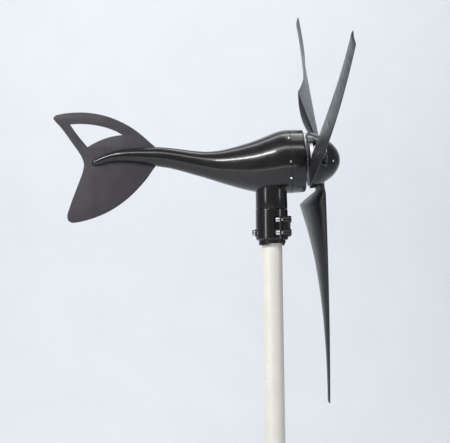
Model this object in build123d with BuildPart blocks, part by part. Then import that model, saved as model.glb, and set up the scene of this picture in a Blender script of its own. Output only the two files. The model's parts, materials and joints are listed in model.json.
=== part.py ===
from build123d import *
from math import sin, cos, pi, sqrt, radians, degrees
import os

os.makedirs("parts", exist_ok=True)

# Small three-blade wind turbine that yaws on top of a 48.3 mm mast pipe.
# Row frame: origin at the mouth of the mast clamp, +Z up along the yaw axis,
# +X towards the nose, millimetres.

# ---------------------------------------------------------------- dimensions
HUB_Z = 204.0            # rotor hub above the clamp mouth
HUB_X = 100.0            # rotor hub ahead of the yaw axis
TILT = 0.0402            # rotor axis, nose up, radians

MAST_BORE_R = 24.25      # clamp bore for a 48.3 mm pipe
BORE_LEN = 62.0          # pipe engagement
SLEEVE_R = 38.7
LIP_R = 32.0
LIP_H = 13.0
SLEEVE_TOP = 86.0
CLAMP_BOLT_Y = -35.4
CLAMP_BOLT_Z = (28.7, 59.5)
LOCK_BOLT_Z = 30.2

YAW_SEAT_R = 12.5        # yaw shaft under the bearings
YAW_STUB_R = 14.9        # thick end pressed into the sleeve
YAW_CABLE_R = 6.5
YAW_TOP = 174.0
NECK_R = 38.0
NECK_BOTTOM = 87.0
YAW_BRG = dict(w=15.0, r_in=12.5, r_out=26.0, rp=19.25, rb=3.9, n=9)
YAW_LOWER_Z = 96.0
YAW_UPPER_Z = 133.0

GEN_BRG = dict(w=12.0, r_in=8.5, r_out=20.0, rp=14.25, rb=3.3, n=8)
GEN_FRONT_S = -38.5      # rear face of the front bearing, along the rotor axis
GEN_REAR_S = -84.0

SCREW_R = 40.0           # spinner screws: circle, and the floor of their recesses
SCREW_S = 44.6
SEAM_S = -54.3           # joint between nacelle shell and front cover
COVER_FRONT_S = -20.4
STACK_S0, STACK_S1 = -64.0, -42.0
STATOR_R_OUT, STATOR_R_IN = 66.0, 46.2
MAGNET_R = 45.0

HUB_PLATE_R = 62.0
HUB_PLATE_S0, HUB_PLATE_S1 = -10.0, -1.0
SPINNER_WALL = 2.5
BLADE_PHASE = 0.0999     # blade spacing is 120 degrees from this
ROOT_TURN = 0.16         # blade's own radial line, ahead of the section frame
FIN_T = 3.0

# ---------------------------------------------------------------- frames
ct, st = cos(TILT), sin(TILT)
HUB = Vector(HUB_X, 0, HUB_Z)
AX = Vector(ct, 0, st)
E1 = Vector(-st, 0, ct)
E2 = Vector(0, -1, 0)
ROT = Plane(origin=HUB, x_dir=E1, z_dir=AX)              # across the rotor axis
RPROF = Plane(origin=HUB, x_dir=E1, z_dir=Vector(0, 1, 0))  # x radius, y axial
ROT_AXIS = Axis(HUB, AX)
YPROF = Plane.XZ                                          # x radius, y height


# ---------------------------------------------------------------- helpers
def turned(plane, axis, outline, groove=None):
    """A ring or shaft turned about an axis from its half section."""
    with BuildPart() as p:
        with BuildSketch(plane):
            with BuildLine():
                Polyline(*outline, close=True)
            make_face()
            if groove:
                with Locations((groove[0], groove[1])):
                    Circle(groove[2], mode=Mode.SUBTRACT)
        revolve(axis=axis)
    return p


def box_ring(r0, r1, a0, a1):
    return [(r0, a0), (r1, a0), (r1, a1), (r0, a1)]


def bearing(plane, axis, cross, d, a0, prefix):
    """Deep-groove ball bearing: two races, the balls and their cage."""
    am = a0 + d["w"] / 2
    rg = d["rb"] + 0.15
    sh = d["rb"] * 0.6
    inner = turned(plane, axis, box_ring(d["r_in"], d["rp"] - sh, a0, a0 + d["w"]), (d["rp"], am, rg))
    outer = turned(plane, axis, box_ring(d["rp"] + sh, d["r_out"], a0, a0 + d["w"]), (d["rp"], am, rg))
    with BuildPart() as balls:
        with Locations(cross.offset(am)):
            with PolarLocations(d["rp"], d["n"]):
                Sphere(d["rb"])
    with BuildPart() as cage:
        with BuildSketch(plane):
            with BuildLine():
                Polyline(*box_ring(d["rp"] - 1.2, d["rp"] + 1.2, am - d["rb"] - 1.0, am + d["rb"] + 1.0), close=True)
            make_face()
        revolve(axis=axis)
        with Locations(cross.offset(am)):
            with PolarLocations(d["rp"], d["n"]):
                Cylinder(d["rb"] + 0.12, 6.0, rotation=(0, 90, 0), mode=Mode.SUBTRACT)
    save(inner, prefix + "_inner_race")
    save(outer, prefix + "_outer_race")
    save(balls, prefix + "_balls")
    save(cage, prefix + "_cage")


def save(block, name):
    block.part.label = name
    export_step(block.part, "parts/" + name + ".step")


# ---------------------------------------------------------------- mast clamp
with BuildPart() as mast_sleeve:
    with BuildSketch(YPROF):
        with BuildLine():
            Polyline(
                (9.7, BORE_LEN), (9.7, 64.2), (8.0, 64.2), (8.0, 66.0), (14.93, 66.0), (14.93, SLEEVE_TOP),
                (SLEEVE_R - 1.5, SLEEVE_TOP), (SLEEVE_R, SLEEVE_TOP - 1.5),
                (SLEEVE_R + 0.2, LIP_H + 2.0), (SLEEVE_R - 1.8, LIP_H), (LIP_R + 0.6, LIP_H - 1.0), (LIP_R, 1.0), (LIP_R - 1.0, 0.0),
                (MAST_BORE_R, 0.0), (MAST_BORE_R, BORE_LEN), close=True,
            )
        make_face()
    revolve(axis=Axis.Z)
    # pocket for the bolt heads on one side of the split
    with Locations((10.0, -43.5, 43.5)):
        Box(13.0, 32.0, 49.0, mode=Mode.SUBTRACT)
    # fixed ear and the sprung ear with its two bosses
    with BuildSketch(Plane.XY.offset(19.0)):
        with BuildLine():
            Polyline((16.2, -22.0), (16.2, -41.5), (21.0, -41.5), (21.0, -22.0), close=True)
        make_face()
        with BuildLine():
            Polyline((23.0, -20.0), (23.0, -41.5), (38.0, -41.5), (42.2, -36.0), (42.2, -20.0), (34.0, -12.0), (26.5, -12.0), close=True)
        make_face()
    extrude(amount=49.0)
    with Locations(*[Plane(origin=(23.0, CLAMP_BOLT_Y, z), x_dir=(0, 1, 0), z_dir=(1, 0, 0)) for z in CLAMP_BOLT_Z]):
        Cylinder(8.2, 21.4, align=(Align.CENTER, Align.CENTER, Align.MIN))
    # pad for the locking bolt
    with Locations(Plane(origin=(-31.0, 0, LOCK_BOLT_Z), x_dir=(0, 1, 0), z_dir=(-1, 0, 0))):
        Cylinder(9.0, 10.0, align=(Align.CENTER, Align.CENTER, Align.MIN))
    # the split itself
    with Locations((22.2, -22.0, 31.5)):
        Box(2.8, 44.0, 65.0, mode=Mode.SUBTRACT)
    # the far half of the lip is cut short, with a relief slit at each end
    with Locations((22.0, -20.0, 0.0)):
        Box(62.0, 60.0, 8.0, mode=Mode.SUBTRACT)
    with Locations((-9.5, -30.0, 6.0)):
        Box(1.6, 20.0, 13.0, mode=Mode.SUBTRACT)
    # bolt holes, tapped in the sprung ear
    with Locations(*[Plane(origin=(14.0, CLAMP_BOLT_Y, z), x_dir=(0, 1, 0), z_dir=(1, 0, 0)) for z in CLAMP_BOLT_Z]):
        Cylinder(4.3, 8.0, align=(Align.CENTER, Align.CENTER, Align.MIN), mode=Mode.SUBTRACT)
        Cylinder(4.03, 28.6, align=(Align.CENTER, Align.CENTER, Align.MIN), mode=Mode.SUBTRACT)
    with Locations(Plane(origin=(-20.0, 0, LOCK_BOLT_Z), x_dir=(0, 1, 0), z_dir=(-1, 0, 0))):
        Cylinder(4.03, 25.0, align=(Align.CENTER, Align.CENTER, Align.MIN), mode=Mode.SUBTRACT)
    with Locations((0, 0, BORE_LEN / 2)):
        Cylinder(MAST_BORE_R, BORE_LEN, mode=Mode.SUBTRACT)
save(mast_sleeve, "mast_sleeve")

with BuildPart() as clamp_bolts:
    with Locations(*[Plane(origin=(14.6, CLAMP_BOLT_Y, z), x_dir=(0, 1, 0), z_dir=(1, 0, 0)) for z in CLAMP_BOLT_Z]):
        Cylinder(4.0, 27.0, align=(Align.CENTER, Align.CENTER, Align.MIN))
        Cylinder(6.5, 8.0, align=(Align.CENTER, Align.CENTER, Align.MAX))
    for z in CLAMP_BOLT_Z:
        with BuildSketch(Plane(origin=(6.6, CLAMP_BOLT_Y, z), x_dir=(0, 1, 0), z_dir=(1, 0, 0))):
            RegularPolygon(3.4, 6)
        extrude(amount=4.0, mode=Mode.SUBTRACT)
save(clamp_bolts, "clamp_bolts")

with BuildPart() as clamp_washers:
    with Locations(*[Plane(origin=(14.6, CLAMP_BOLT_Y, z), x_dir=(0, 1, 0), z_dir=(1, 0, 0)) for z in CLAMP_BOLT_Z]):
        Cylinder(7.2, 1.6, align=(Align.CENTER, Align.CENTER, Align.MIN))
        Cylinder(4.2, 1.6, align=(Align.CENTER, Align.CENTER, Align.MIN), mode=Mode.SUBTRACT)
save(clamp_washers, "clamp_washers")

with BuildPart() as mast_lock_bolt:
    with Locations(Plane(origin=(-42.6, 0, LOCK_BOLT_Z), x_dir=(0, 1, 0), z_dir=(-1, 0, 0))):
        Cylinder(4.0, 18.0, align=(Align.CENTER, Align.CENTER, Align.MAX))
    with BuildSketch(Plane(origin=(-42.6, 0, LOCK_BOLT_Z), x_dir=(0, 0, 1), z_dir=(-1, 0, 0))):
        RegularPolygon(6.5, 6, major_radius=False)
    extrude(amount=5.4)
save(mast_lock_bolt, "mast_lock_bolt")

with BuildPart() as mast_lock_washer:
    with Locations(Plane(origin=(-41.0, 0, LOCK_BOLT_Z), x_dir=(0, 1, 0), z_dir=(-1, 0, 0))):
        Cylinder(7.6, 1.6, align=(Align.CENTER, Align.CENTER, Align.MIN))
        Cylinder(4.2, 1.6, align=(Align.CENTER, Align.CENTER, Align.MIN), mode=Mode.SUBTRACT)
save(mast_lock_washer, "mast_lock_washer")

# ---------------------------------------------------------------- yaw shaft and its stack
yaw_shaft = turned(YPROF, Axis.Z, [
    (YAW_CABLE_R, 66.0), (YAW_STUB_R - 0.8, 66.0), (YAW_STUB_R, 66.8), (YAW_STUB_R, YAW_LOWER_Z), (YAW_SEAT_R - 0.01, YAW_LOWER_Z),
    (YAW_SEAT_R - 0.01, 148.2), (11.7, 148.2), (11.7, 150.0), (YAW_SEAT_R - 0.01, 150.0),
    (YAW_SEAT_R - 0.01, YAW_TOP - 1.0), (YAW_SEAT_R - 1.0, YAW_TOP), (YAW_CABLE_R, YAW_TOP),
])
save(yaw_shaft, "yaw_shaft")

yaw_race_spacer = turned(YPROF, Axis.Z, box_ring(12.52, 15.6, YAW_LOWER_Z + 15.0, YAW_UPPER_Z))
save(yaw_race_spacer, "yaw_race_spacer")

with BuildPart() as yaw_circlip:
    with BuildSketch(Plane.XY.offset(148.3)):
        Circle(15.4)
        Circle(11.75, mode=Mode.SUBTRACT)
        with Locations((14.0, 0)):
            Rectangle(8.0, 5.0, mode=Mode.SUBTRACT)
    extrude(amount=1.6)
save(yaw_circlip, "yaw_circlip")

slip_ring_insulator = turned(YPROF, Axis.Z, [
    (12.55, 151.0), (18.5, 151.0), (18.5, 152.6), (16.0, 152.6), (16.0, 157.4), (18.0, 157.4), (18.0, 159.2), (16.0, 159.2),
    (16.0, 164.0), (18.0, 164.0), (18.0, 165.8), (16.0, 165.8), (16.0, 170.6), (18.5, 170.6), (18.5, 172.0), (12.55, 172.0),
])
save(slip_ring_insulator, "slip_ring_insulator")

RING_Z = (152.8, 159.4, 166.0)
with BuildPart() as slip_rings:
    for z in RING_Z:
        with BuildSketch(Plane.XY.offset(z)):
            Circle(20.0)
            Circle(16.05, mode=Mode.SUBTRACT)
        extrude(amount=4.4)
save(slip_rings, "slip_rings")

cable_grommet = turned(YPROF, Axis.Z, [
    (4.2, 62.2), (9.6, 62.2), (9.6, 64.1), (7.9, 64.1), (7.9, 65.9), (4.2, 65.9),
])
save(cable_grommet, "cable_grommet")

yaw_seal = turned(YPROF, Axis.Z, [
    (15.0, 91.0), (16.4, 90.2), (25.96, 90.2), (25.96, 95.6), (22.0, 95.6), (22.0, 92.6), (17.2, 92.6), (15.0, 94.0),
])
save(yaw_seal, "yaw_seal")

bearing(YPROF, Axis.Z, Plane.XY, YAW_BRG, YAW_LOWER_Z, "yaw_lower")
bearing(YPROF, Axis.Z, Plane.XY, YAW_BRG, YAW_UPPER_Z, "yaw_upper")

# ---------------------------------------------------------------- nacelle shell and boom
# stations along X: centre height, half height, half width (heights relative to the hub)
BODY = [
    (-431.0, 0.6, 3.4, 3.2), (-422.0, 1.8, 9.2, 8.8), (-411.0, 5.6, 11.2, 10.6), (-400.0, 9.6, 12.0, 11.4), (-376.0, 15.2, 14.2, 13.6), (-352.0, 16.8, 16.3, 15.6),
    (-328.0, 16.8, 18.1, 17.4), (-304.0, 15.6, 20.3, 19.6), (-271.0, 13.2, 23.6, 22.8), (-242.0, 9.4, 24.9, 24.2),
    (-213.0, 3.6, 26.8, 26.2), (-184.5, -2.6, 29.2, 28.6), (-155.5, -8.0, 32.4, 31.8), (-126.5, -12.0, 38.2, 37.4),
    (-97.5, -13.6, 45.6, 45.0), (-68.5, -13.8, 53.7, 53.0), (-39.5, -12.6, 61.6, 61.0), (-10.0, -8.8, 69.0, 68.6),
    (16.0, -4.9, 74.4, 74.2),
]
with BuildPart() as nacelle_shell:
    for x, zc, h, w in BODY:
        with BuildSketch(Plane(origin=(x, 0, HUB_Z + zc), x_dir=(0, 1, 0), z_dir=(1, 0, 0))):
            Ellipse(w, h)
    with BuildSketch(ROT.offset(SEAM_S - 12.0)):
        Circle(76.4)
    with BuildSketch(ROT.offset(SEAM_S)):
        Circle(76.6)
    loft(ruled=True)
    # yaw neck
    with BuildSketch(Plane.XY.offset(NECK_BOTTOM)):
        Circle(NECK_R)
    extrude(amount=61.0)
    # generator bay and the tapering space behind it
    with BuildSketch(RPROF):
        with BuildLine():
            Polyline((0, SEAM_S + 0.5), (72.0, SEAM_S + 0.5), (72.0, SEAM_S - 6.2), (68.0, SEAM_S - 6.2), (68.0, -80.0), (60.0, -80.0), (60.0, -100.0),
                     (55.0, -122.0), (41.0, -162.0), (0, -162.0), close=True)
        make_face()
    revolve(axis=ROT_AXIS, mode=Mode.SUBTRACT)
    # yaw bearing housing standing in the bay
    with BuildSketch(Plane.XY.offset(120.0)):
        Circle(29.5)
    extrude(amount=30.0)
    with BuildSketch(YPROF):
        with BuildLine():
            Polyline((0, 85.0), (26.0, 85.0), (26.0, YAW_LOWER_Z + 15.0), (22.5, YAW_LOWER_Z + 15.0), (22.5, YAW_UPPER_Z), (26.0, YAW_UPPER_Z),
                     (26.0, 151.0), (0, 151.0), close=True)
        make_face()
    revolve(axis=Axis.Z, mode=Mode.SUBTRACT)
    # slot for the tail fin
    with Locations((-361.0, 0, HUB_Z + 10.0)):
        Box(202.4, FIN_T + 0.1, 90.0, mode=Mode.SUBTRACT)
    # blind holes for the fin screws, from the far side
    with Locations(*[Plane(origin=(x, 30.0, HUB_Z + z), x_dir=(1, 0, 0), z_dir=(0, 1, 0)) for x, z in ((-300.0, 15.0), (-340.0, 16.6), (-382.0, 14.0))]):
        Cylinder(2.05, 38.0, align=(Align.CENTER, Align.CENTER, Align.MAX), mode=Mode.SUBTRACT)
    with Locations(*[Plane(origin=(x, y, HUB_Z + z), x_dir=(1, 0, 0), z_dir=(0, 1, 0)) for x, z, y in ((-300.0, 15.0, 16.6), (-340.0, 16.6, 13.2), (-382.0, 14.0, 9.6))]):
        Cylinder(4.3, 12.0, align=(Align.CENTER, Align.CENTER, Align.MIN), mode=Mode.SUBTRACT)
    # radial screw holes round the seam rim
    with Locations(*[Plane(origin=HUB + AX * (SEAM_S - 3.2), x_dir=AX, z_dir=E1 * cos(radians(a)) + E2 * sin(radians(a))) for a in (50.6, 96.8, 127.0, -50.6, -96.8, -127.0)]):
        Cylinder(2.1, 80.0, align=(Align.CENTER, Align.CENTER, Align.MIN), mode=Mode.SUBTRACT)
    # threaded holes for the bearing carrier
    with Locations(ROT.offset(-80.0)):
        with PolarLocations(64.0, 4, start_angle=45.0):
            Cylinder(2.03, 12.0, align=(Align.CENTER, Align.CENTER, Align.MAX), mode=Mode.SUBTRACT)
save(nacelle_shell, "nacelle_shell")

# ---------------------------------------------------------------- tail fin
FIN_EDGE = [
    (-262.0, 15.0), (-266.0, 4.0), (-277.5, -8.5), (-302.0, -42.0), (-331.0, -73.5), (-360.0, -98.0), (-389.0, -116.4), (-418.0, -129.6), (-446.8, -138.6), (-468.0, -143.0),
    (-481.0, -143.6), (-489.5, -138.0), (-491.6, -127.0), (-486.5, -109.0), (-470.8, -66.0), (-460.9, -40.4), (-453.6, -18.9), (-451.2, -4.4), (-454.7, 10.6),
    (-465.5, 29.6), (-479.9, 50.0), (-494.3, 71.0), (-508.8, 90.0), (-520.6, 103.0), (-524.6, 109.8), (-521.0, 115.6), (-509.0, 119.4), (-484.5, 122.7),
    (-460.3, 123.6), (-436.2, 122.0), (-412.0, 117.8), (-387.8, 110.8), (-363.7, 100.6), (-339.6, 87.4), (-315.5, 70.0), (-291.5, 48.5), (-277.1, 35.5), (-266.0, 25.0),
]
with BuildPart() as tail_fin:
    with BuildSketch(Plane(origin=(0, FIN_T / 2, HUB_Z), x_dir=(1, 0, 0), z_dir=(0, -1, 0))) as fin_sk:
        with BuildLine():
            Spline(*FIN_EDGE, periodic=True)
        make_face()
        with BuildSketch(mode=Mode.PRIVATE) as window:
            with BuildLine():
                Spline((-484.6, 94.6), (-465.3, 95.6), (-445.9, 94.9), (-426.6, 92.6), (-407.3, 88.6), (-388.0, 82.6), (-373.5, 76.4), (-358.0, 67.6))
                Spline((-358.0, 67.6), (-378.4, 64.8), (-392.9, 61.4), (-412.3, 54.6), (-429.2, 46.4), (-442.4, 38.8))
                Spline((-442.4, 38.8), (-456.2, 55.6), (-470.6, 74.2), (-484.6, 94.6))
            make_face()
            fillet(window.vertices(), 2.5)
        add(window.sketch, mode=Mode.SUBTRACT)
        with Locations((-300.0, 15.0), (-340.0, 16.6), (-382.0, 14.0)):
            Circle(2.1, mode=Mode.SUBTRACT)
    extrude(amount=FIN_T)
save(tail_fin, "tail_fin")

with BuildPart() as fin_screws:
    for x, z, y in ((-300.0, 15.0, 16.5), (-340.0, 16.6, 13.1), (-382.0, 14.0, 9.5)):
        with Locations(Plane(origin=(x, y + 0.1, HUB_Z + z), x_dir=(1, 0, 0), z_dir=(0, 1, 0))):
            Cylinder(2.0, y + 7.4, align=(Align.CENTER, Align.CENTER, Align.MAX))
            Cylinder(3.8, 3.0, align=(Align.CENTER, Align.CENTER, Align.MIN))
save(fin_screws, "fin_screws")

# ---------------------------------------------------------------- front cover
with BuildPart() as front_cover:
    with BuildSketch(RPROF):
        with BuildLine():
            a1 = Polyline((71.8, SEAM_S), (76.6, SEAM_S), (75.9, -40.0), (75.0, -30.0))
            a2 = Spline((75.0, -30.0), (74.0, -24.6), (72.0, -21.4), (69.0, COVER_FRONT_S), tangents=[(-0.06, 1.0), (-1.0, 0.02)])
            Polyline((69.0, COVER_FRONT_S), (60.0, COVER_FRONT_S), (56.0, -22.0), (34.0, -22.0), (30.0, -19.0), (28.0, -14.0), (15.02, -14.0), (15.02, -20.2), (10.5, -20.2), (10.5, -26.4),
                     (20.02, -26.4), (20.02, -39.0), (25.0, -39.0), (26.0, -27.0), (66.0, -27.0), (70.0, -31.0), (70.4, -46.0), (68.3, -50.0), (68.3, SEAM_S - 5.8), (71.8, SEAM_S - 5.8), (71.8, SEAM_S))
        make_face()
    revolve(axis=ROT_AXIS)
    with Locations(*[Plane(origin=HUB + AX * (SEAM_S - 3.2), x_dir=AX, z_dir=E1 * cos(radians(a)) + E2 * sin(radians(a))) for a in (50.6, 96.8, 127.0, -50.6, -96.8, -127.0)]):
        Cylinder(1.53, 80.0, align=(Align.CENTER, Align.CENTER, Align.MIN), mode=Mode.SUBTRACT)
save(front_cover, "front_cover")

with BuildPart() as cover_screws:
    with Locations(*[Plane(origin=HUB + AX * (SEAM_S - 3.2) + (E1 * cos(radians(a)) + E2 * sin(radians(a))) * 76.95, x_dir=AX, z_dir=E1 * cos(radians(a)) + E2 * sin(radians(a))) for a in (50.6, 96.8, 127.0, -50.6, -96.8, -127.0)]):
        Cylinder(1.5, 8.0, align=(Align.CENTER, Align.CENTER, Align.MAX))
        Cylinder(2.9, 1.5, align=(Align.CENTER, Align.CENTER, Align.MIN))
save(cover_screws, "cover_screws")

cover_o_ring = turned(RPROF, ROT_AXIS, box_ring(68.6, 71.4, SEAM_S - 6.15, SEAM_S - 5.85))
save(cover_o_ring, "cover_gasket")

# ---------------------------------------------------------------- generator
with BuildPart() as rear_bearing_carrier:
    with BuildSketch(RPROF):
        with BuildLine():
            Polyline((20.02, -84.6), (24.0, -84.6), (24.6, -80.0), (67.8, -80.0), (67.8, -75.0), (25.4, -75.0), (25.4, -70.4), (16.5, -70.4), (16.5, -71.9), (20.02, -71.9), close=True)
        make_face()
    revolve(axis=ROT_AXIS)
    with Locations(ROT.offset(-80.0)):
        with PolarLocations(64.0, 4, start_angle=45.0):
            Cylinder(2.1, 5.0, align=(Align.CENTER, Align.CENTER, Align.MIN), mode=Mode.SUBTRACT)
        with PolarLocations(44.0, 6, start_angle=0.0):
            Cylinder(8.0, 5.0, align=(Align.CENTER, Align.CENTER, Align.MIN), mode=Mode.SUBTRACT)
        # flat that clears the yaw bearing housing
        with Locations((-79.5, 0, 2.5)):
            Box(60.0, 150.0, 30.0, mode=Mode.SUBTRACT)
save(rear_bearing_carrier, "rear_bearing_carrier")

with BuildPart() as carrier_screws:
    with Locations(ROT.offset(-75.0)):
        with PolarLocations(64.0, 4, start_angle=45.0):
            Cylinder(2.0, 15.0, align=(Align.CENTER, Align.CENTER, Align.MAX))
            Cylinder(3.4, 2.0, align=(Align.CENTER, Align.CENTER, Align.MIN))
save(carrier_screws, "carrier_screws")

TEETH = 12
with BuildPart() as stator_core:
    with BuildSketch(ROT.offset(STACK_S0)):
        Circle(STATOR_R_OUT)
        Circle(60.5, mode=Mode.SUBTRACT)
        with PolarLocations(54.0, TEETH):
            Rectangle(14.4, 10.0)
        with BuildSketch(mode=Mode.PRIVATE) as tips:
            Circle(49.8)
            Circle(STATOR_R_IN, mode=Mode.SUBTRACT)
            with PolarLocations(48.0, TEETH, start_angle=15.0):
                Rectangle(8.0, 3.0, mode=Mode.SUBTRACT)
        add(tips.sketch)
    extrude(amount=STACK_S1 - STACK_S0)
save(stator_core, "stator_core")

with BuildPart() as stator_windings:
    for k in range(TEETH):
        a = 2 * pi * k / TEETH
        er = E1 * cos(a) + E2 * sin(a)
        with BuildSketch(Plane(origin=HUB + AX * ((STACK_S0 + STACK_S1) / 2) + er * 50.6, x_dir=AX, z_dir=er)):
            RectangleRounded(33.6, 20.6, 4.5)
            Rectangle(22.6, 10.6, mode=Mode.SUBTRACT)
        extrude(amount=8.6)
save(stator_windings, "stator_windings")

rotor_shaft = turned(RPROF, ROT_AXIS, [
    (0, -86.5), (7.4, -86.5), (8.48, -85.5), (8.48, -71.0), (10.0, -71.0), (10.0, -40.0), (8.48, -40.0), (8.48, -10.0), (7.98, -10.0), (7.98, 52.0), (7.0, 53.0), (0, 53.0),
])
with BuildPart() as rotor_shaft_keyed:
    add(rotor_shaft.part)
    with Locations(Plane(origin=HUB + AX * -53.0 + E1 * 9.5, x_dir=AX, z_dir=E1)):
        Box(18.2, 5.1, 6.0, mode=Mode.SUBTRACT)
save(rotor_shaft_keyed, "rotor_shaft")

with BuildPart() as rotor_key:
    with Locations(Plane(origin=HUB + AX * -53.0 + E1 * 9.6, x_dir=AX, z_dir=E1)):
        Box(18.0, 5.0, 5.8)
save(rotor_key, "rotor_key")

with BuildPart() as magnet_rotor:
    with BuildSketch(ROT.offset(STACK_S0)):
        Circle(40.0)
        Circle(10.03, mode=Mode.SUBTRACT)
        with PolarLocations(25.0, 6, start_angle=30.0):
            Circle(6.5, mode=Mode.SUBTRACT)
        with Locations((10.0, 0)):
            Rectangle(5.4, 5.1, mode=Mode.SUBTRACT)
    extrude(amount=STACK_S1 - STACK_S0)
save(magnet_rotor, "magnet_rotor")

with BuildPart() as rotor_magnets:
    with BuildSketch(ROT.offset(STACK_S0)):
        Circle(MAGNET_R)
        Circle(40.05, mode=Mode.SUBTRACT)
        with PolarLocations(42.0, 10):
            Rectangle(10.0, 4.0, mode=Mode.SUBTRACT)
    extrude(amount=STACK_S1 - STACK_S0)
save(rotor_magnets, "rotor_magnets")

bearing(RPROF, ROT_AXIS, ROT, GEN_BRG, GEN_FRONT_S, "gen_front")
bearing(RPROF, ROT_AXIS, ROT, GEN_BRG, GEN_REAR_S, "gen_rear")

shaft_seal = turned(RPROF, ROT_AXIS, [
    (8.56, -17.6), (9.8, -15.0), (14.98, -15.0), (14.98, -20.0), (13.0, -20.0), (13.0, -17.2), (10.6, -17.2), (8.56, -19.0),
])
save(shaft_seal, "shaft_seal")

# ---------------------------------------------------------------- brush gear and rectifiers
with BuildPart() as brush_holder:
    with Locations((-33.0, 0, 162.0)):
        Box(12.0, 16.0, 22.0)
    with Locations(*[(-29.5, 0, z + 2.2) for z in RING_Z]):
        Box(9.0, 6.2, 3.8, mode=Mode.SUBTRACT)
    with Locations((-32.0, 0, 151.8)):
        Box(8.0, 26.0, 1.6)
    with Locations((-32.0, 10.8, 151.8), (-32.0, -10.8, 151.8)):
        Cylinder(1.3, 4.0, mode=Mode.SUBTRACT)
save(brush_holder, "brush_holder")

with BuildPart() as brushes:
    with Locations(*[(-25.1, 0, z + 2.2) for z in RING_Z]):
        Box(9.4, 6.0, 3.6)
save(brushes, "brushes")

with BuildPart() as rectifiers:
    with Locations(ROT.offset(-80.1)):
        with Locations((38.0, 16.0), (38.0, -16.0)):
            Box(25.0, 25.0, 8.0, align=(Align.CENTER, Align.CENTER, Align.MAX))
            Cylinder(2.2, 8.0, align=(Align.CENTER, Align.CENTER, Align.MAX), mode=Mode.SUBTRACT)
save(rectifiers, "rectifiers")

# ---------------------------------------------------------------- blade geometry
def lin(a, b, t):
    return a + (b - a) * t


def quad(u, v0, v1, v2):
    """Parabola through v0, v1, v2 at u = 0, 0.5, 1."""
    return v0 * (1 - u) * (1 - 2 * u) + 4 * v1 * u * (1 - u) + v2 * u * (2 * u - 1)


R_ROOT, R_CORNER, R_TIP = 70.0, 107.2, 616.6


def blade_station(r):
    """Leading and trailing edge (tangential, axial) and chord of the section at r."""
    w = (r - R_ROOT) / (R_TIP - R_ROOT)
    u = (r - R_CORNER) / (R_TIP - R_CORNER)
    chord = 139.2 + (r - R_CORNER) * (139.2 - 40.0) / (R_CORNER - R_ROOT) if r < R_CORNER else quad(u, 139.2, 66.5, 31.8)
    beta = quad(u, 0.3893, 0.1474, -0.0325)
    s_le = 29.56 - 0.97 * w + 5.54 * w**2 - 7.79 * w**3
    t_le = 0.14 + 42.71 * w + 98.73 * w**2 - 39.28 * w**3
    return t_le, s_le, t_le + chord * cos(beta), s_le - chord * sin(beta), chord, beta


def section_points(r):
    """Closed ring of (tangential, axial) points of the blade section at r."""
    pts = []
    n = 8
    if r <= 62.0:
        t0, s0, t1, s1, chord, beta = blade_station(R_ROOT)
        d = (cos(beta), -sin(beta))
        nn = (-sin(beta), -cos(beta))
        half, th = chord / 2 - 1.0, 6.0
        cx = (t0 + t1) / 2 + nn[0] * th
        cy = (s0 + s1) / 2 + nn[1] * th
        for k in range(2 * n):
            a = pi - pi * k / n
            ca, sa = cos(a), sin(a)
            x = half * (abs(ca) ** 0.42) * (1 if ca > 0 else -1)
            y = (th - 0.3) * (abs(sa) ** 0.42) * (1 if sa > 0 else -1)
            pts.append((cx + d[0] * x + nn[0] * y, cy + d[1] * x + nn[1] * y))
        return pts
    t0, s0, t1, s1, chord, beta = blade_station(r)
    d = (cos(beta), -sin(beta))
    nn = (-sin(beta), -cos(beta))
    half_te = 0.7
    for k in range(2 * n):
        a = pi - pi * k / n                      # LE at a = pi, round to TE at a = 0
        xi = (1 + cos(a)) / 2
        if k <= n:                                # suction side first
            off = 0.39 * sqrt(xi) * (1 - xi) * chord + half_te * xi
        else:
            off = (0.22 * xi * (1 - xi) - 0.035 * sqrt(xi) * (1 - xi)) * chord - half_te * xi
        if k == n:
            off = 0.0
        pts.append((t0 + d[0] * xi * chord + nn[0] * off, s0 + d[1] * xi * chord + nn[1] * off))
    return pts


def blade_planes(ph):
    er = E1 * cos(ph) + E2 * sin(ph)
    et = E1 * -sin(ph) + E2 * cos(ph)
    return er, et


T0, S0, T1, S1, C0, B0 = blade_station(R_ROOT)
SEAT_UP = (sin(B0), cos(B0))                      # upwind normal of the blade foot
SEAT_MID = ((T0 + T1) / 2, (S0 + S1) / 2)
FOOT_T = 12.0
BOLT_R = (31.0, 47.5)


def foot_plane(ph, r, lift=0.0):
    """Plane on the upwind face of a blade foot, normal along its bolts."""
    er, et = blade_planes(ph)
    up = et * SEAT_UP[0] + AX * SEAT_UP[1]
    o = HUB + er * r + et * SEAT_MID[0] + AX * SEAT_MID[1] + up * lift
    return Plane(origin=o, x_dir=er, z_dir=up)


def make_blade(ph, name):
    er, et = blade_planes(ph)
    with BuildPart() as blade:
        for r in (23.0, 58.0, 70.0, 88.0, R_CORNER):
            with BuildSketch(Plane(origin=HUB + er * r, x_dir=et, z_dir=er)):
                with BuildLine():
                    Spline(*section_points(r), periodic=True)
                make_face()
        loft(ruled=True)
        for r in (R_CORNER, 122.0, 145.0, 180.0, 240.0, 320.0, 420.0, 520.0, R_TIP):
            with BuildSketch(Plane(origin=HUB + er * r, x_dir=et, z_dir=er)):
                with BuildLine():
                    Spline(*section_points(r), periodic=True)
                make_face()
        loft(ruled=True)
        with Locations(*[foot_plane(ph, r, 2.0) for r in BOLT_R]):
            Cylinder(4.3, 18.0, align=(Align.CENTER, Align.CENTER, Align.MAX), mode=Mode.SUBTRACT)
    save(blade, name)
    return blade


PHASES = [pi / 3 + BLADE_PHASE, -pi / 3 + BLADE_PHASE, pi + BLADE_PHASE]
blades = [make_blade(ph, n) for ph, n in zip(PHASES, ("blade_near", "blade_far", "blade_lower"))]

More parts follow.
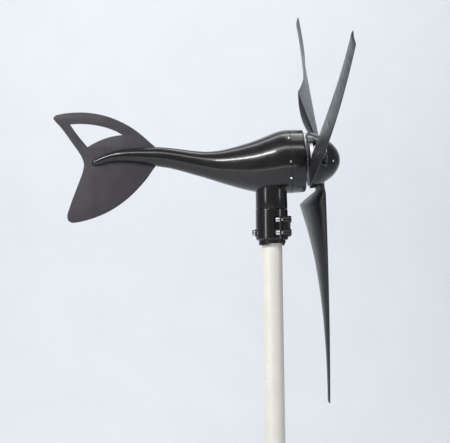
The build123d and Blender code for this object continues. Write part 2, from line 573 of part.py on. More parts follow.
# ---------------------------------------------------------------- hub
with BuildPart() as hub_plate:
    with BuildSketch(RPROF):
        with BuildLine():
            Polyline((8.02, HUB_PLATE_S0), (HUB_PLATE_R - 1.0, HUB_PLATE_S0), (HUB_PLATE_R, HUB_PLATE_S0 + 1.0), (HUB_PLATE_R, HUB_PLATE_S1 - 1.0),
                     (HUB_PLATE_R - 1.0, HUB_PLATE_S1), (19.5, HUB_PLATE_S1), (19.5, 31.0), (8.02, 31.0), close=True)
        make_face()
    revolve(axis=ROT_AXIS)
    for ph in PHASES:
        er, et = blade_planes(ph)
        le = (T0 - SEAT_UP[0] * (FOOT_T + 0.05), S0 - SEAT_UP[1] * (FOOT_T + 0.05))
        te = (T1 - SEAT_UP[0] * (FOOT_T + 0.05), S1 - SEAT_UP[1] * (FOOT_T + 0.05))
        with BuildSketch(Plane(origin=HUB + er * 21.0, x_dir=et, z_dir=er)):
            with BuildLine():
                Polyline((le[0], HUB_PLATE_S1 - 0.5), le, te, (te[0], HUB_PLATE_S1 - 0.5), close=True)
            make_face()
        extrude(amount=36.0)
    for ph in PHASES:
        with Locations(*[foot_plane(ph, r) for r in BOLT_R]):
            Cylinder(4.03, 31.0, align=(Align.CENTER, Align.CENTER, Align.MAX), mode=Mode.SUBTRACT)
    with Locations(ROT):
        with PolarLocations(50.0, 3, start_angle=degrees(BLADE_PHASE) + 8.0):
            Cylinder(7.0, 12.0, align=(Align.CENTER, Align.CENTER, Align.MAX), mode=Mode.SUBTRACT)
save(hub_plate, "hub_plate")

with BuildPart() as blade_bolts:
    with Locations(*[foot_plane(ph, r, 1.7) for ph in PHASES for r in BOLT_R]):
        Cylinder(4.0, 31.0, align=(Align.CENTER, Align.CENTER, Align.MAX))
        Cylinder(6.4, 5.0, align=(Align.CENTER, Align.CENTER, Align.MIN))
    for ph in PHASES:
        for r in BOLT_R:
            with BuildSketch(foot_plane(ph, r, 4.2)):
                RegularPolygon(2.9, 6)
            extrude(amount=3.0, mode=Mode.SUBTRACT)
save(blade_bolts, "blade_bolts")

with BuildPart() as blade_washers:
    with Locations(*[foot_plane(ph, r, 0.1) for ph in PHASES for r in BOLT_R]):
        Cylinder(7.6, 1.5, align=(Align.CENTER, Align.CENTER, Align.MIN))
        Cylinder(4.2, 1.5, align=(Align.CENTER, Align.CENTER, Align.MIN), mode=Mode.SUBTRACT)
save(blade_washers, "blade_washers")

with BuildPart() as spinner_backplate:
    with BuildSketch(ROT.offset(31.05)):
        Circle(44.0)
        Circle(8.1, mode=Mode.SUBTRACT)
        with PolarLocations(29.0, 3, start_angle=30.0):
            Circle(6.0, mode=Mode.SUBTRACT)
    extrude(amount=4.0)
    with Locations(ROT.offset(31.0)):
        with PolarLocations(SCREW_R, 3, start_angle=degrees(PHASES[0] + ROOT_TURN) + 27.0):
            Cylinder(1.53, 5.0, align=(Align.CENTER, Align.CENTER, Align.MIN), mode=Mode.SUBTRACT)
save(spinner_backplate, "spinner_backplate")

hub_washer = turned(RPROF, ROT_AXIS, box_ring(8.2, 15.0, 35.1, 37.6))
save(hub_washer, "hub_washer")

with BuildPart() as hub_nut:
    with BuildSketch(ROT.offset(37.7)):
        RegularPolygon(12.0, 6, major_radius=False)
        Circle(8.03, mode=Mode.SUBTRACT)
    extrude(amount=13.0)
save(hub_nut, "hub_nut")

# ---------------------------------------------------------------- spinner
SP_PROF = [(67.8, -11.0), (67.4, 0.0), (64.6, 8.0), (60.6, 17.5), (54.4, 27.5), (47.2, 37.6), (40.0, 47.6), (32.6, 54.4), (24.8, 60.0), (16.0, 64.2), (7.0, 66.6), (0.0, 67.1)]
SP_IN = [(65.2, -11.0), (64.8, -1.0), (62.0, 6.6), (58.0, 16.0), (52.0, 25.6), (44.8, 35.8), (37.8, 45.4), (30.8, 51.8), (23.2, 57.3), (14.8, 61.4), (6.5, 63.8), (0.0, 64.4)]
SP_ANG = degrees(PHASES[0] + ROOT_TURN) + 27.0
with BuildPart() as screw_posts:
    with Locations(ROT.offset(35.1)):
        with PolarLocations(SCREW_R, 3, start_angle=SP_ANG):
            Cylinder(6.0, 30.0, align=(Align.CENTER, Align.CENTER, Align.MIN))
    with BuildSketch(RPROF):
        with BuildLine():
            Spline(*[(r - 0.6 if r > 0 else 0.0, s - 0.6) for r, s in SP_PROF], tangents=[(0, 1), (-1, 0)])
            Line((0.0, 66.5), (0.0, -11.6))
            Line((0.0, -11.6), (67.2, -11.6))
        make_face()
    revolve(axis=ROT_AXIS, mode=Mode.INTERSECT)

with BuildPart() as spinner:
    with BuildSketch(RPROF):
        with BuildLine():
            Spline(*SP_PROF, tangents=[(0, 1), (-1, 0)])
            Line(SP_PROF[-1], SP_IN[-1])
            Spline(*SP_IN, tangents=[(0, 1), (-1, 0)])
            Line(SP_IN[0], SP_PROF[0])
        make_face()
    revolve(axis=ROT_AXIS)
    # screw posts reaching back to the plate
    add(screw_posts.part)
    with Locations(ROT.offset(SCREW_S)):
        with PolarLocations(SCREW_R, 3, start_angle=SP_ANG):
            Cylinder(4.4, 20.0, align=(Align.CENTER, Align.CENTER, Align.MIN), mode=Mode.SUBTRACT)
    with Locations(ROT.offset(34.0)):
        with PolarLocations(SCREW_R, 3, start_angle=SP_ANG):
            Cylinder(1.7, 18.0, align=(Align.CENTER, Align.CENTER, Align.MIN), mode=Mode.SUBTRACT)
    # one open-backed notch for each blade foot
    for ph in PHASES:
        er, et = blade_planes(ph + ROOT_TURN)
        with BuildSketch(Plane(origin=HUB + er * 30.0, x_dir=et, z_dir=er)):
            with Locations((5.5, 15.3)):
                RectangleRounded(57.0, 32.6, 6.0)
            with Locations((-1.5, -7.5)):
                Rectangle(43.0, 45.0)
        extrude(amount=60.0, mode=Mode.SUBTRACT)
save(spinner, "spinner")

with BuildPart() as spinner_screws:
    with Locations(ROT.offset(SCREW_S + 0.1)):
        with PolarLocations(SCREW_R, 3, start_angle=SP_ANG):
            Cylinder(1.5, 13.5, align=(Align.CENTER, Align.CENTER, Align.MAX))
            Cylinder(3.1, 2.0, align=(Align.CENTER, Align.CENTER, Align.MIN))
save(spinner_screws, "spinner_screws")
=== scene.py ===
import bpy, bmesh, math
import numpy as np
from mathutils import Vector, Matrix
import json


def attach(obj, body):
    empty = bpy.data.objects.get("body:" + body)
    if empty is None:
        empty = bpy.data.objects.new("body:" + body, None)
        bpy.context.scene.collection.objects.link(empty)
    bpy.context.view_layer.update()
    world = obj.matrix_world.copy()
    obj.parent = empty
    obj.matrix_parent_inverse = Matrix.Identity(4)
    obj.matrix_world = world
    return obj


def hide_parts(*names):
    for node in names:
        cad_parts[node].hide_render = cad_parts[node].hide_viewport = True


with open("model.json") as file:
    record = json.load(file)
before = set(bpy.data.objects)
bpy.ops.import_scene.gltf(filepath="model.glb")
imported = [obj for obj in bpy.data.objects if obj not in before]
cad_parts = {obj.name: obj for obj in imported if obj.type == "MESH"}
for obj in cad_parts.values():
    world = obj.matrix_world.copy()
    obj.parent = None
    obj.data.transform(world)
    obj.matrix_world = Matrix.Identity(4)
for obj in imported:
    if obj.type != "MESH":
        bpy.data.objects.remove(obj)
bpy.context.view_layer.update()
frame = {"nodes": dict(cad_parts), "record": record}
N = frame["nodes"]
MM = 0.001

# ------------------------------------------------------------------ frames
TILT = 0.0402
CT, ST = math.cos(TILT), math.sin(TILT)
HUB = np.array([100.0, 0.0, 204.0])
AX = np.array([CT, 0.0, ST])
E1 = np.array([-ST, 0.0, CT])
E2 = np.array([0.0, -1.0, 0.0])
PHASES = [math.pi / 3 + 0.0999, -math.pi / 3 + 0.0999, math.pi + 0.0999]
ROOT_TURN = 0.16
SEAM_S = -54.3


# ------------------------------------------------------------------ camera (photo's viewing angle)
def make_camera():
    yaw, pitch, roll = 0.00833, 0.06488, -0.01291
    cy, sy = math.cos(yaw), math.sin(yaw)
    fwd = np.array([sy * math.cos(pitch), cy * math.cos(pitch), math.sin(pitch)])
    right = np.array([cy, -sy, 0.0])
    up = np.cross(right, fwd)
    c, s = math.cos(roll), math.sin(roll)
    r2, u2 = c * right + s * up, -s * right + c * up
    cam = bpy.data.cameras.new("camera")
    cam.sensor_fit = "HORIZONTAL"
    cam.sensor_width = 36.0
    cam.lens = 983.53 / 450.0 * 36.0
    cam.clip_start, cam.clip_end = 0.05, 60.0
    ob = bpy.data.objects.new("camera", cam)
    bpy.context.scene.collection.objects.link(ob)
    m = Matrix(((r2[0], u2[0], -fwd[0], -0.13233), (r2[1], u2[1], -fwd[1], -2.36198), (r2[2], u2[2], -fwd[2], -0.09467), (0, 0, 0, 1)))
    ob.matrix_world = m
    bpy.context.scene.camera = ob
    return ob


make_camera()


# ------------------------------------------------------------------ small mesh helpers (input in mm)
def mesh_object(name, verts, faces, smooth=True, angle=None):
    me = bpy.data.meshes.new(name)
    me.from_pydata([tuple(float(c) * MM for c in v) for v in verts], [], faces)
    me.validate()
    bm = bmesh.new()
    bm.from_mesh(me)
    bmesh.ops.remove_doubles(bm, verts=bm.verts, dist=1e-7)
    bmesh.ops.recalc_face_normals(bm, faces=bm.faces)
    bm.to_mesh(me)
    bm.free()
    ob = bpy.data.objects.new(name, me)
    bpy.context.scene.collection.objects.link(ob)
    if smooth:
        shade(ob, angle)
    return ob


def shade(ob, angle=None):
    me = ob.data
    me.polygons.foreach_set("use_smooth", [True] * len(me.polygons))
    if angle is not None:
        bm = bmesh.new()
        bm.from_mesh(me)
        for e in bm.edges:
            e.smooth = not (len(e.link_faces) != 2 or e.calc_face_angle(0.0) > math.radians(angle))
        bm.to_mesh(me)
        bm.free()
    me.update()


def ring_loft(name, rings, cap0=True, cap1=True, closed=True, angle=None):
    """Skin through rings of equal length (arrays n x 3, mm)."""
    n = len(rings[0])
    verts = [p for r in rings for p in r]
    faces = []
    for i in range(len(rings) - 1):
        for j in range(n if closed else n - 1):
            k = (j + 1) % n
            faces.append((i * n + j, i * n + k, (i + 1) * n + k, (i + 1) * n + j))
    if cap0:
        verts.append(np.mean(rings[0], 0)); c = len(verts) - 1
        faces += [(c, (j + 1) % n, j) for j in range(n)]
    if cap1:
        verts.append(np.mean(rings[-1], 0)); c = len(verts) - 1
        b = (len(rings) - 1) * n
        faces += [(c, b + j, b + (j + 1) % n) for j in range(n)]
    return mesh_object(name, verts, faces, angle=angle)


def turned(name, profile, centre, axis, u, v, n=128, angle=35.0):
    """Revolve a closed (radius, axial) profile about an axis; points on the axis collapse."""
    rings = []
    for r, s in profile:
        a = np.linspace(0, 2 * math.pi, n, endpoint=False)
        rings.append(centre + axis * s + r * (np.cos(a)[:, None] * u + np.sin(a)[:, None] * v))
    verts = [p for r in rings for p in r]
    faces = []
    m = len(rings)
    for i in range(m):
        i2 = (i + 1) % m
        if profile[i][0] < 1e-6 and profile[i2][0] < 1e-6:
            continue
        for j in range(n):
            k = (j + 1) % n
            q = []
            for t in (i * n + j, i * n + k, i2 * n + k, i2 * n + j):
                q.append(t)
            faces.append(tuple(q))
    ob = mesh_object(name, verts, faces, angle=angle)
    return ob


def rounded(points, radius=None, steps=4):
    """Round the corners of a closed 2D profile. points: (x, y[, r])."""
    out = []
    n = len(points)
    for i in range(n):
        p = np.array(points[i][:2], float)
        r = points[i][2] if len(points[i]) > 2 else (radius or 0.0)
        a = np.array(points[i - 1][:2], float)
        b = np.array(points[(i + 1) % n][:2], float)
        da, db = a - p, b - p
        la, lb = np.linalg.norm(da), np.linalg.norm(db)
        if r <= 0 or la < 1e-9 or lb < 1e-9:
            out.append(tuple(p)); continue
        da, db = da / la, db / lb
        ang = math.acos(max(-1, min(1, float(da @ db))))
        if ang > math.pi - 0.05:
            out.append(tuple(p)); continue
        d = min(r / math.tan(ang / 2), la * 0.48, lb * 0.48)
        for t in np.linspace(0, 1, steps + 1):
            q = (1 - t) ** 2 * (p + da * d) + 2 * t * (1 - t) * p + t ** 2 * (p + db * d)
            out.append(tuple(q))
    return out


def interp(xs, ys, x):
    """Smooth cubic (Hermite) interpolation through stations."""
    xs, ys = np.asarray(xs, float), np.asarray(ys, float)
    m = np.gradient(ys, xs)
    x = np.clip(x, xs[0], xs[-1])
    i = np.clip(np.searchsorted(xs, x) - 1, 0, len(xs) - 2)
    h = xs[i + 1] - xs[i]
    t = (x - xs[i]) / h
    return ((2 * t**3 - 3 * t**2 + 1) * ys[i] + (t**3 - 2 * t**2 + t) * h * m[i]
            + (-2 * t**3 + 3 * t**2) * ys[i + 1] + (t**3 - t**2) * h * m[i + 1])


def boolean(ob, other, op):
    mod = ob.modifiers.new("b", "BOOLEAN")
    mod.object, mod.operation, mod.solver = other, op, "EXACT"
    dg = bpy.context.evaluated_depsgraph_get()
    me = bpy.data.meshes.new_from_object(ob.evaluated_get(dg))
    ob.modifiers.clear()
    old = ob.data
    ob.data = me
    bpy.data.meshes.remove(old)
    bpy.data.objects.remove(other)
    return ob


def prism(name, poly, origin, x, y, z, depth):
    """Closed prism from a 2D polygon."""
    poly = [np.array(p, float) for p in poly]
    a = [origin + x * p[0] + y * p[1] for p in poly]
    b = [q + z * depth for q in a]
    n = len(poly)
    faces = [tuple(range(n))[::-1], tuple(range(n, 2 * n))]
    faces += [(i, (i + 1) % n, n + (i + 1) % n, n + i) for i in range(n)]
    return mesh_object(name, a + b, faces, smooth=False)


def join(name, obs):
    bm = bmesh.new()
    for o in obs:
        bm.from_mesh(o.data)
    me = bpy.data.meshes.new(name)
    bm.to_mesh(me)
    bm.free()
    for o in obs:
        bpy.data.objects.remove(o)
    ob = bpy.data.objects.new(name, me)
    bpy.context.scene.collection.objects.link(ob)
    return ob


# ------------------------------------------------------------------ materials
def material(name, base, rough, metallic=0.0, coat=0.0, vary=0.15, rough_vary=0.08, scale=60.0, bump=0.15, bump_scale=900.0,
             bump_mm=0.05, edge_wear_and_glint=None, streak=None, ior=1.5, peel=None, speck=0.0, coat_rough=0.04, spec=0.5):
    """Procedural finish: clouded colour and roughness, fine surface grain, optional lighter sharp edges (rubbed edges,
    and on the gloss black also a painted edge glint), turning marks, orange peel.
    """
    m = bpy.data.materials.new(name)
    m.use_nodes = True
    nt = m.node_tree
    nt.nodes.clear()
    out = nt.nodes.new("ShaderNodeOutputMaterial")
    b = nt.nodes.new("ShaderNodeBsdfPrincipled")
    nt.links.new(b.outputs[0], out.inputs[0])
    b.inputs["Metallic"].default_value = metallic
    b.inputs["IOR"].default_value = ior
    b.inputs["Specular IOR Level"].default_value = spec
    b.inputs["Coat Weight"].default_value = coat
    b.inputs["Coat Roughness"].default_value = coat_rough
    tc = nt.nodes.new("ShaderNodeTexCoord")
    mp = nt.nodes.new("ShaderNodeMapping")
    nt.links.new(tc.outputs["Object"], mp.inputs[0])
    if streak:
        mp.inputs["Scale"].default_value = streak
    n1 = nt.nodes.new("ShaderNodeTexNoise")
    n1.inputs["Scale"].default_value = scale
    n1.inputs["Detail"].default_value = 6.0
    n1.inputs["Roughness"].default_value = 0.6
    nt.links.new(mp.outputs[0], n1.inputs["Vector"])
    ramp = nt.nodes.new("ShaderNodeValToRGB")
    ramp.color_ramp.elements[0].position = 0.3
    ramp.color_ramp.elements[1].position = 0.72
    lo = [max(0.0, c * (1 - vary)) for c in base]
    hi = [min(1.0, c * (1 + vary)) for c in base]
    ramp.color_ramp.elements[0].color = (*lo, 1)
    ramp.color_ramp.elements[1].color = (*hi, 1)
    nt.links.new(n1.outputs["Fac"], ramp.inputs[0])
    col = ramp.outputs[0]
    n2 = nt.nodes.new("ShaderNodeTexNoise")
    n2.inputs["Scale"].default_value = scale * 3.1
    n2.inputs["Detail"].default_value = 8.0
    nt.links.new(mp.outputs[0], n2.inputs["Vector"])
    mr = nt.nodes.new("ShaderNodeMapRange")
    mr.inputs["From Min"].default_value = 0.3
    mr.inputs["From Max"].default_value = 0.7
    mr.inputs["To Min"].default_value = max(0.02, rough - rough_vary)
    mr.inputs["To Max"].default_value = min(1.0, rough + rough_vary)
    nt.links.new(n2.outputs["Fac"], mr.inputs[0])
    rsock = mr.outputs[0]
    if speck > 0:
        vo = nt.nodes.new("ShaderNodeTexVoronoi")
        vo.inputs["Scale"].default_value = 420.0
        nt.links.new(tc.outputs["Object"], vo.inputs["Vector"])
        sm = nt.nodes.new("ShaderNodeMapRange")
        sm.inputs["From Min"].default_value = 0.06
        sm.inputs["From Max"].default_value = 0.0
        sm.inputs["To Max"].default_value = speck
        nt.links.new(vo.outputs["Distance"], sm.inputs[0])
        mx = nt.nodes.new("ShaderNodeMix")
        mx.data_type = "RGBA"
        mx.inputs[7].default_value = (0.55, 0.53, 0.5, 1)
        nt.links.new(sm.outputs[0], mx.inputs[0])
        nt.links.new(col, mx.inputs[6])
        col = mx.outputs[2]
    # lighter colour on sharp edges: rubbed edges, and on the gloss black paint and plastic also a painted glint along
    # lips and seams
    if edge_wear_and_glint:
        geo = nt.nodes.new("ShaderNodeNewGeometry")
        wr = nt.nodes.new("ShaderNodeMapRange")
        wr.inputs["From Min"].default_value = edge_wear_and_glint[0]
        wr.inputs["From Max"].default_value = edge_wear_and_glint[1]
        nt.links.new(geo.outputs["Pointiness"], wr.inputs[0])
        mu = nt.nodes.new("ShaderNodeMath")
        mu.operation = "MULTIPLY"
        nt.links.new(wr.outputs[0], mu.inputs[0])
        nt.links.new(n2.outputs["Fac"], mu.inputs[1])
        mx = nt.nodes.new("ShaderNodeMix")
        mx.data_type = "RGBA"
        mx.inputs[7].default_value = (*edge_wear_and_glint[2], 1)
        nt.links.new(mu.outputs[0], mx.inputs[0])
        nt.links.new(col, mx.inputs[6])
        col = mx.outputs[2]
    nt.links.new(col, b.inputs["Base Color"])
    nt.links.new(rsock, b.inputs["Roughness"])
    n3 = nt.nodes.new("ShaderNodeTexNoise")
    n3.inputs["Scale"].default_value = bump_scale
    n3.inputs["Detail"].default_value = 4.0
    nt.links.new(mp.outputs[0], n3.inputs["Vector"])
    bp = nt.nodes.new("ShaderNodeBump")
    bp.inputs["Strength"].default_value = bump
    bp.inputs["Distance"].default_value = bump_mm * MM
    nt.links.new(n3.outputs["Fac"], bp.inputs["Height"])
    last = bp
    if peel:
        n4 = nt.nodes.new("ShaderNodeTexNoise")
        n4.inputs["Scale"].default_value = peel[0]
        n4.inputs["Detail"].default_value = 1.5
        nt.links.new(tc.outputs["Object"], n4.inputs["Vector"])
        b2 = nt.nodes.new("ShaderNodeBump")
        b2.inputs["Strength"].default_value = peel[1]
        b2.inputs["Distance"].default_value = peel[2] * MM
        nt.links.new(n4.outputs["Fac"], b2.inputs["Height"])
        nt.links.new(bp.outputs[0], b2.inputs["Normal"])
        last = b2
    nt.links.new(last.outputs[0], b.inputs["Normal"])
    if coat > 0:
        nt.links.new(last.outputs[0], b.inputs["Coat Normal"])
    return m


# grey for the sharp edges of the gloss black: partly rubbed edges, partly a painted edge glint along lips and seams
GREY_EDGE_WEAR_AND_GLINT = (0.09, 0.09, 0.095)
M = {
    "black_gloss_paint": material("black_gloss_paint", (0.0072, 0.0066, 0.0068), 0.24, coat=0.40, vary=0.22, rough_vary=0.05, scale=14, bump=0.03,
                                  peel=(150.0, 0.035, 0.05), edge_wear_and_glint=(0.56, 0.66, GREY_EDGE_WEAR_AND_GLINT), coat_rough=0.08, spec=0.32),
    "black_gloss_plastic": material("black_gloss_plastic", (0.0072, 0.0066, 0.0068), 0.24, coat=0.36, vary=0.2, rough_vary=0.06, scale=26, bump=0.03,
                                    peel=(200.0, 0.03, 0.04), edge_wear_and_glint=(0.56, 0.66, GREY_EDGE_WEAR_AND_GLINT), coat_rough=0.09, spec=0.32),
    "black_nylon": material("black_nylon", (0.0078, 0.0078, 0.0102), 0.32, vary=0.22, rough_vary=0.08, scale=34, bump=0.16, bump_scale=1500, bump_mm=0.05,
                            streak=(1.0, 1.0, 0.45), edge_wear_and_glint=(0.55, 0.66, (0.07, 0.07, 0.075))),
    "charcoal_satin": material("charcoal_satin", (0.034, 0.030, 0.036), 0.44, vary=0.15, rough_vary=0.07, scale=9, bump=0.25, bump_scale=2200, bump_mm=0.05,
                               edge_wear_and_glint=(0.55, 0.66, (0.20, 0.19, 0.20)), speck=0.0),
    "machined_aluminium": material("machined_aluminium", (0.80, 0.80, 0.81), 0.38, metallic=0.8, vary=0.07, rough_vary=0.09, scale=120, bump=0.25, bump_scale=1600,
                                   streak=(9.0, 1.0, 1.0)),
    "zinc_steel": material("zinc_steel", (0.66, 0.66, 0.67), 0.28, metallic=1.0, vary=0.12, rough_vary=0.12, scale=220, bump=0.2),
    "ground_steel": material("ground_steel", (0.56, 0.56, 0.57), 0.3, metallic=1.0, vary=0.1, rough_vary=0.1, scale=150, bump=0.2, streak=(1.0, 1.0, 8.0)),
    "bearing_steel": material("bearing_steel", (0.72, 0.72, 0.74), 0.12, metallic=1.0, vary=0.05, rough_vary=0.05, scale=200, bump=0.05),
    "bearing_cage": material("bearing_cage", (0.5, 0.5, 0.5), 0.35, metallic=1.0, vary=0.1, scale=200),
    "electrical_steel": material("electrical_steel", (0.2, 0.2, 0.21), 0.5, metallic=0.8, vary=0.2, scale=90, bump=0.5, streak=(30.0, 1.0, 1.0)),
    "copper": material("copper", (0.62, 0.27, 0.12), 0.3, metallic=1.0, vary=0.2, scale=400, bump=0.6, bump_scale=1200, bump_mm=0.2),
    "magnet_nickel": material("magnet_nickel", (0.5, 0.49, 0.46), 0.2, metallic=1.0, vary=0.06, scale=100),
    "ring_brass": material("ring_brass", (0.72, 0.52, 0.22), 0.22, metallic=1.0, vary=0.1, scale=160, streak=(1.0, 1.0, 12.0)),
    "insulator": material("insulator", (0.12, 0.09, 0.06), 0.5, vary=0.15, scale=120),
    "carbon": material("carbon", (0.03, 0.03, 0.03), 0.6, vary=0.2, scale=300, bump=0.4),
    "black_rubber": material("black_rubber", (0.02, 0.02, 0.021), 0.7, vary=0.2, scale=200, bump=0.4, bump_scale=1400),
}
M["black_oxide"] = material("black_oxide", (0.030, 0.029, 0.030), 0.36, metallic=0.7, vary=0.2, rough_vary=0.1, scale=240, bump=0.2, edge_wear_and_glint=(0.55, 0.65, (0.2, 0.19, 0.18)))
slot_of = {s["node"]: s.get("material_slot") or s["node"] for s in frame["record"]["subparts"]}
for node, ob in N.items():
    m = M["black_oxide"] if node in ("blade_bolts", "blade_washers") else M[slot_of[node]]
    if ob.data.materials:
        for i in range(len(ob.data.materials)):
            ob.data.materials[i] = m
    else:
        ob.data.materials.append(m)


def hub_with_painted_back_shade():
    """Turned rim and front; the back face towards the generator gets painted shade, a near-black colour standing in for
    the dark gap it faces.
    """
    m = M["machined_aluminium"].copy()
    m.name = "turned_hub_disc_painted_shade"
    nt = m.node_tree
    b = next(n for n in nt.nodes if n.type == "BSDF_PRINCIPLED")
    src = b.inputs["Base Color"].links[0].from_socket
    tc = nt.nodes.new("ShaderNodeTexCoord")
    dot = nt.nodes.new("ShaderNodeVectorMath")
    dot.operation = "DOT_PRODUCT"
    dot.inputs[1].default_value = tuple(AX)
    nt.links.new(tc.outputs["Object"], dot.inputs[0])
    mr = nt.nodes.new("ShaderNodeMapRange")
    s0 = float(HUB @ AX) * MM
    mr.inputs["From Min"].default_value = s0 - 0.0098
    mr.inputs["From Max"].default_value = s0 - 0.0093
    nt.links.new(dot.outputs["Value"], mr.inputs[0])
    mx = nt.nodes.new("ShaderNodeMix")
    mx.data_type = "RGBA"
    # painted shade: near-black colour on the hub's back face, behind a plane 9.3 to 9.8 mm behind the hub centre
    mx.inputs[6].default_value = (0.025, 0.025, 0.027, 1)
    nt.links.new(mr.outputs[0], mx.inputs[0])
    nt.links.new(src, mx.inputs[7])
    nt.links.new(mx.outputs[2], b.inputs["Base Color"])
    return m


# the hub disc carries painted shade on its back face
hub_painted_shade_mat = hub_with_painted_back_shade()
for i in range(len(N["hub_plate"].data.materials)):
    N["hub_plate"].data.materials[i] = hub_painted_shade_mat


def finish_piece(ob, body, slot, *nodes):
    ob.data.materials.clear()
    ob.data.materials.append(M[slot])
    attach(ob, body)
    if nodes:
        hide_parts(*nodes)
    return ob


# ------------------------------------------------------------------ nacelle, neck and boom
BODY = [
    (-431.0, 0.6, 3.4, 3.2), (-422.0, 1.8, 9.2, 8.8), (-411.0, 5.6, 11.2, 10.6), (-400.0, 9.6, 12.0, 11.4), (-376.0, 15.2, 14.2, 13.6), (-352.0, 16.8, 16.3, 15.6),
    (-328.0, 16.8, 18.1, 17.4), (-304.0, 15.6, 20.3, 19.6), (-271.0, 13.2, 23.6, 22.8), (-242.0, 9.4, 24.9, 24.2),
    (-213.0, 3.6, 26.8, 26.2), (-184.5, -2.6, 29.2, 28.6), (-155.5, -8.0, 32.4, 31.8), (-126.5, -12.0, 38.2, 37.4),
    (-97.5, -13.6, 45.6, 45.0), (-68.5, -13.8, 53.7, 53.0), (-39.5, -12.6, 61.6, 61.0), (-10.0, -8.8, 69.0, 68.6),
    (16.0, -4.9, 74.4, 74.2),
]
RINGS_N = 112


def body_rings():
    b = np.array(BODY)
    end = HUB + AX * SEAM_S
    pre = HUB + AX * (SEAM_S - 12.0)
    xs = np.concatenate([b[:, 0], [pre[0], end[0]]])
    zc = np.concatenate([b[:, 1] + 204.0, [pre[2], end[2]]])
    hh = np.concatenate([b[:, 2], [76.2, 76.5]])
    ww = np.concatenate([b[:, 3], [76.2, 76.5]])
    stations = np.concatenate([[-432.2, -431.9, -431.2, -430.0, -428.0, -425.5], np.linspace(-422.0, end[0] - 0.5, 150)])
    a = np.linspace(0, 2 * math.pi, RINGS_N, endpoint=False)
    rings = []
    for x in stations:
        z, h, w = interp(xs, zc, x), interp(xs, hh, x), interp(xs, ww, x)
        if x < -422.0:                       # rounded end of the boom
            t = (x + 432.2) / 10.2
            k = math.sqrt(max(0.0, 1 - (1 - t) ** 2))
            z = 204.0 + 1.8 * t
            h, w = 9.2 * k + 0.05, 8.8 * k + 0.05
        tilt = TILT * min(1.0, max(0.0, (x + 40.0) / 60.0))
        u = np.array([-math.sin(tilt), 0, math.cos(tilt)])
        rings.append(np.array([x, 0, z]) + h * np.cos(a)[:, None] * u + w * np.sin(a)[:, None] * E2)
    # rolled lip at the seam, then down into the rebate
    for s, r in ((-55.3, 76.42), (-54.95, 76.15), (-54.75, 75.6), (-54.7, 74.2), (-54.6, 72.1), (-60.4, 72.0), (-60.5, 68.0), (-80.0, 68.0), (-80.1, 60.0), (-100.0, 60.0), (-122.0, 55.0), (-162.0, 41.0), (-162.1, 3.0)):
        rings.append(HUB + AX * s + r * (np.cos(a)[:, None] * E1 + np.sin(a)[:, None] * E2))
    return rings


NECK_Z = 87.0
nacelle = ring_loft("nacelle_body", body_rings(), cap0=True, cap1=True)
X, Y, Z = np.eye(3)
O = np.zeros(3)
neck = turned("neck", [(0, 160.0), (0, NECK_Z), (37.0, NECK_Z), (37.7, NECK_Z + 0.3), (38.0, NECK_Z + 1.0), (38.0, 160.0)], O, Z, X, Y, n=112, angle=None)
nacelle = boolean(nacelle, neck, "UNION")
bore = turned("bore", [(0, 152.0), (0, 87.0), (26.1, 87.0), (26.1, 152.0)], O, Z, X, Y, n=96, angle=None)
nacelle = boolean(nacelle, bore, "DIFFERENCE")
nacelle.name = "nacelle_casting"
shade(nacelle, 38.0)
finish_piece(nacelle, "nacelle", "black_gloss_paint", "nacelle_shell")

# ------------------------------------------------------------------ front cover, dished face and bearing boss
cover_profile = rounded([
    (71.9, SEAM_S + 0.1), (74.2, SEAM_S + 0.2), (76.5, SEAM_S + 0.35, 0.8), (75.9, -40.0), (75.2, -30.0), (74.6, -20.4, 5.0), (62.0, -20.4, 1.0), (60.0, -21.6, 1.0), (34.0, -21.6, 2.5),
    (30.5, -18.6, 1.0), (28.4, -14.0, 1.0), (15.05, -14.0, 0.5), (15.05, -20.2), (10.5, -20.2), (10.5, -26.4), (20.05, -26.4), (20.05, -39.0), (25.0, -39.0), (26.0, -27.0, 2.0),
    (66.0, -27.0, 2.0), (70.0, -31.0), (70.4, -46.0), (68.4, -50.0), (68.4, SEAM_S - 5.7), (71.8, SEAM_S - 5.7)], steps=6)
cover = turned("front_housing_cover", cover_profile, HUB, AX, E1, E2, n=160)
finish_piece(cover, "nacelle", "black_gloss_paint", "front_cover")


def cap_screw(name, origin, axis, r, h, socket, shank_r, shank_l, dome=0.25):
    """Button or socket head with a hexagon socket, chamfered, with its shank."""
    axis = axis / np.linalg.norm(axis)
    u = np.cross(axis, [0.3, 0.5, 0.81]); u /= np.linalg.norm(u)
    v = np.cross(axis, u)
    prof = rounded([(0, -shank_l), (shank_r, -shank_l, 0.3), (shank_r, 0.0), (r, 0.0, 0.15), (r, h * (1 - dome), 0.2), (r * 0.82, h, 0.4), (socket * 1.02, h, 0.1)], steps=3)
    rings = []
    n = 36
    a = np.linspace(0, 2 * math.pi, n, endpoint=False)
    for rr, ss in prof:
        rings.append(origin + axis * ss + rr * (np.cos(a)[:, None] * u + np.sin(a)[:, None] * v))
    hexr = socket * math.cos(math.pi / 6) / np.cos((a % (math.pi / 3)) - math.pi / 6)
    for dd in (0.0, 0.62):
        rings.append(origin + axis * (h - h * dd - 0.02) + (hexr * 0.98)[:, None] * (np.cos(a)[:, None] * u + np.sin(a)[:, None] * v))
    return ring_loft(name, rings, cap0=True, cap1=True, angle=35.0)


screws = []
for k, ang in enumerate((50.6, 96.8, 127.0, -50.6, -96.8, -127.0)):
    d = E1 * math.cos(math.radians(ang)) + E2 * math.sin(math.radians(ang))
    screws.append(cap_screw("s", HUB + AX * (SEAM_S - 3.2) + d * 76.4, d, 2.9, 1.7, 1.25, 1.45, 7.0, dome=0.5))
sc = join("cover_screw_set", screws)
shade(sc, 35.0)
finish_piece(sc, "nacelle", "zinc_steel", "cover_screws")

